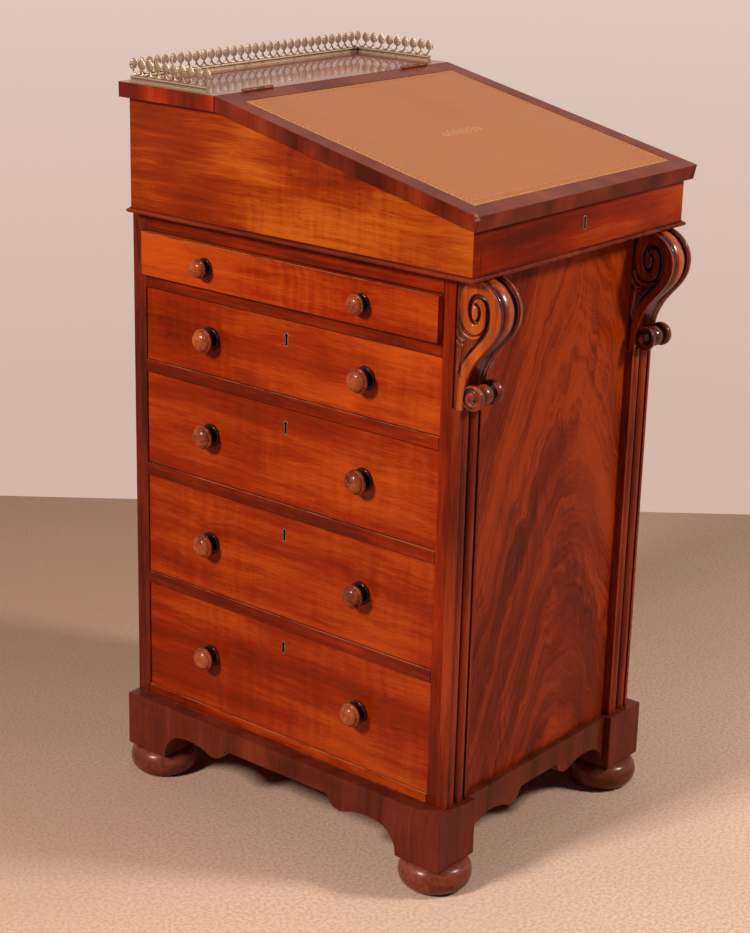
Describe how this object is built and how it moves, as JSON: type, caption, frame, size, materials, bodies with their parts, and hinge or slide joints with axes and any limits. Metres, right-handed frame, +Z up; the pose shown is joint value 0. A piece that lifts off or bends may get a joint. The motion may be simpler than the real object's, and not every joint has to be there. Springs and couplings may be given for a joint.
{
  "type": "davenport desk",
  "caption": "Small davenport desk: sloping leather lid on a sliding box, brass gallery, side drawers with turned knobs, scroll brackets, reeded pilasters, bun feet.",
  "frame": {"origin": "on the floor, at the middle of the overall footprint, bun feet included", "axes": "+X to the user's right, -Y towards the user, +Z up; the working drawers open towards -X"},
  "size_m": [0.4474, 0.5682, 0.9318],
  "materials": {
    "figured_mahogany": "French polished mahogany, figured veneer",
    "dark_mahogany": "French polished mahogany, darker red-brown",
    "turned_mahogany": "turned and polished, very dark",
    "lining_wood": "plain unpolished lining timber",
    "leather": "tan writing leather with gilt tooling",
    "brass": "aged lacquered brass",
    "lock_metal": "aged brass lock case and keyhole thread"
  },
  "bodies": {
    "carcass": {"plinth_sides": "dark_mahogany", "plinth_rails": "dark_mahogany", "plinth_corner_blocks": "dark_mahogany", "base_board": "lining_wood", "bun_feet": "dark_mahogany", "front_posts": "dark_mahogany", "rear_posts": "dark_mahogany", "top_rails": "dark_mahogany", "bottom_rails": "dark_mahogany", "drawer_rails": "dark_mahogany", "dummy_rails": "dark_mahogany", "dust_boards": "lining_wood", "dummy_backing": "lining_wood", "front_panel": "figured_mahogany", "back_panel": "lining_wood", "sliding_deck": "lining_wood", "pilasters": "dark_mahogany", "scroll_bracket_left": "dark_mahogany", "scroll_bracket_right": "dark_mahogany", "dummy_fronts": "figured_mahogany", "dummy_knobs": "turned_mahogany", "dummy_escutcheons": "brass"},
    "sliding_box": {"slide_battens": "lining_wood", "box_sides": "figured_mahogany", "box_front": "figured_mahogany", "box_back": "dark_mahogany", "box_floor": "lining_wood", "box_lock": "lock_metal", "box_moulding": "dark_mahogany", "top_shelf": "figured_mahogany", "gallery_rail": "brass", "gallery_cresting": "brass", "nest_partitions": "lining_wood", "hinge_box_leaves": "brass"},
    "lid": {"writing_lid": "figured_mahogany", "lock_strike": "brass", "lid_leather": "leather", "hinge_lid_leaves": "brass", "hinge_pins": "brass"},
    "bottom_drawer": {"bottom_drawer_front": "figured_mahogany", "bottom_drawer_box": "lining_wood", "bottom_drawer_knobs": "turned_mahogany", "bottom_drawer_lock": "lock_metal"},
    "fourth_drawer": {"fourth_drawer_front": "figured_mahogany", "fourth_drawer_box": "lining_wood", "fourth_drawer_knobs": "turned_mahogany", "fourth_drawer_lock": "lock_metal"},
    "third_drawer": {"third_drawer_front": "figured_mahogany", "third_drawer_box": "lining_wood", "third_drawer_knobs": "turned_mahogany", "third_drawer_lock": "lock_metal"},
    "second_drawer": {"second_drawer_front": "figured_mahogany", "second_drawer_box": "lining_wood", "second_drawer_knobs": "turned_mahogany", "second_drawer_lock": "lock_metal"},
    "top_drawer": {"top_drawer_front": "figured_mahogany", "top_drawer_box": "lining_wood", "top_drawer_knobs": "turned_mahogany"},
    "pen_drawer_left_body": {"pen_drawer_left": "lining_wood"},
    "pen_drawer_right_body": {"pen_drawer_right": "lining_wood"}
  },
  "joints": [
    {"name": "top_slide", "type": "slide", "parent": "carcass", "child": "sliding_box", "axis": [0, -1, 0], "range_m": [-0.013, 0.187]},
    {"name": "lid_hinge", "type": "hinge", "parent": "sliding_box", "child": "lid", "pos_m": [0, 0.11075, 0.905], "axis": [-1, 0, 0], "range_deg": [0, 105]},
    {"name": "bottom_drawer_slide", "type": "slide", "parent": "carcass", "child": "bottom_drawer", "axis": [-1, 0, 0], "range_m": [0, 0.26]},
    {"name": "fourth_drawer_slide", "type": "slide", "parent": "carcass", "child": "fourth_drawer", "axis": [-1, 0, 0], "range_m": [0, 0.26]},
    {"name": "third_drawer_slide", "type": "slide", "parent": "carcass", "child": "third_drawer", "axis": [-1, 0, 0], "range_m": [0, 0.26]},
    {"name": "second_drawer_slide", "type": "slide", "parent": "carcass", "child": "second_drawer", "axis": [-1, 0, 0], "range_m": [0, 0.26]},
    {"name": "top_drawer_slide", "type": "slide", "parent": "carcass", "child": "top_drawer", "axis": [-1, 0, 0], "range_m": [-0.01, 0.25]},
    {"name": "pen_drawer_left_slide", "type": "slide", "parent": "sliding_box", "child": "pen_drawer_left_body", "axis": [0, -1, 0], "range_m": [0, 0.09]},
    {"name": "pen_drawer_right_slide", "type": "slide", "parent": "sliding_box", "child": "pen_drawer_right_body", "axis": [0, -1, 0], "range_m": [0, 0.09]}
  ]
}
